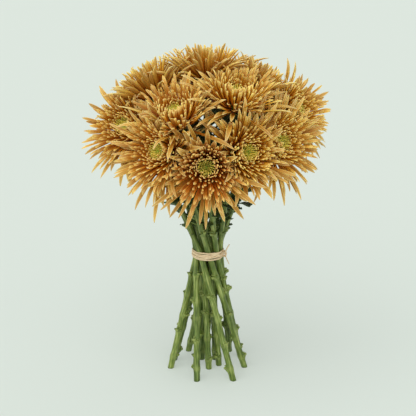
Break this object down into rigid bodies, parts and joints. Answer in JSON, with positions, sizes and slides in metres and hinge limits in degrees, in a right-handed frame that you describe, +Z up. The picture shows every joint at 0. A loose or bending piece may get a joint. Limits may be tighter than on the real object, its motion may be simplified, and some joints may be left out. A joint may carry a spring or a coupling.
{
  "type": "disbud chrysanthemum bunch",
  "caption": "Hand-tied spiral bunch of bronze quilled disbud chrysanthemums, bound with raffia at the waist and standing on its level-cut stems.",
  "frame": {"origin": "on the surface the bunch stands on, under the middle of its overall box", "axes": "+Z up along the bunch from its cut stem ends to its dome of blooms; -Y is the front, with the lowest bloom; +X to the right seen from the front"},
  "size_m": [0.2578, 0.2324, 0.361],
  "materials": {
    "petals": "soft matt petal, golden tan outside and red-brown inside",
    "hearts": "matt, yellow-green young florets",
    "stems": "semi-matt fresh green stem, bracts and leaves",
    "raffia": "dry natural palm fibre, slight sheen"
  },
  "bodies": {
    "root": {"bloom_01_petals": "petals", "bloom_01_heart": "hearts", "stem_01": "stems", "bloom_02_petals": "petals", "bloom_02_heart": "hearts", "stem_02": "stems", "bloom_03_petals": "petals", "bloom_03_heart": "hearts", "stem_03": "stems", "bloom_04_petals": "petals", "bloom_04_heart": "hearts", "stem_04": "stems", "bloom_05_petals": "petals", "bloom_05_heart": "hearts", "stem_05": "stems", "bloom_06_petals": "petals", "bloom_06_heart": "hearts", "stem_06": "stems", "bloom_07_petals": "petals", "bloom_07_heart": "hearts", "stem_07": "stems", "bloom_08_petals": "petals", "bloom_08_heart": "hearts", "stem_08": "stems", "bloom_09_petals": "petals", "bloom_09_heart": "hearts", "stem_09": "stems", "bloom_10_petals": "petals", "bloom_10_heart": "hearts", "stem_10": "stems", "bloom_11_petals": "petals", "bloom_11_heart": "hearts", "stem_11": "stems", "bloom_12_petals": "petals", "bloom_12_heart": "hearts", "stem_12": "stems", "bloom_13_petals": "petals", "bloom_13_heart": "hearts", "stem_13": "stems", "bloom_14_petals": "petals", "bloom_14_heart": "hearts", "stem_14": "stems", "raffia_tie": "raffia"}
  },
  "joints": []
}
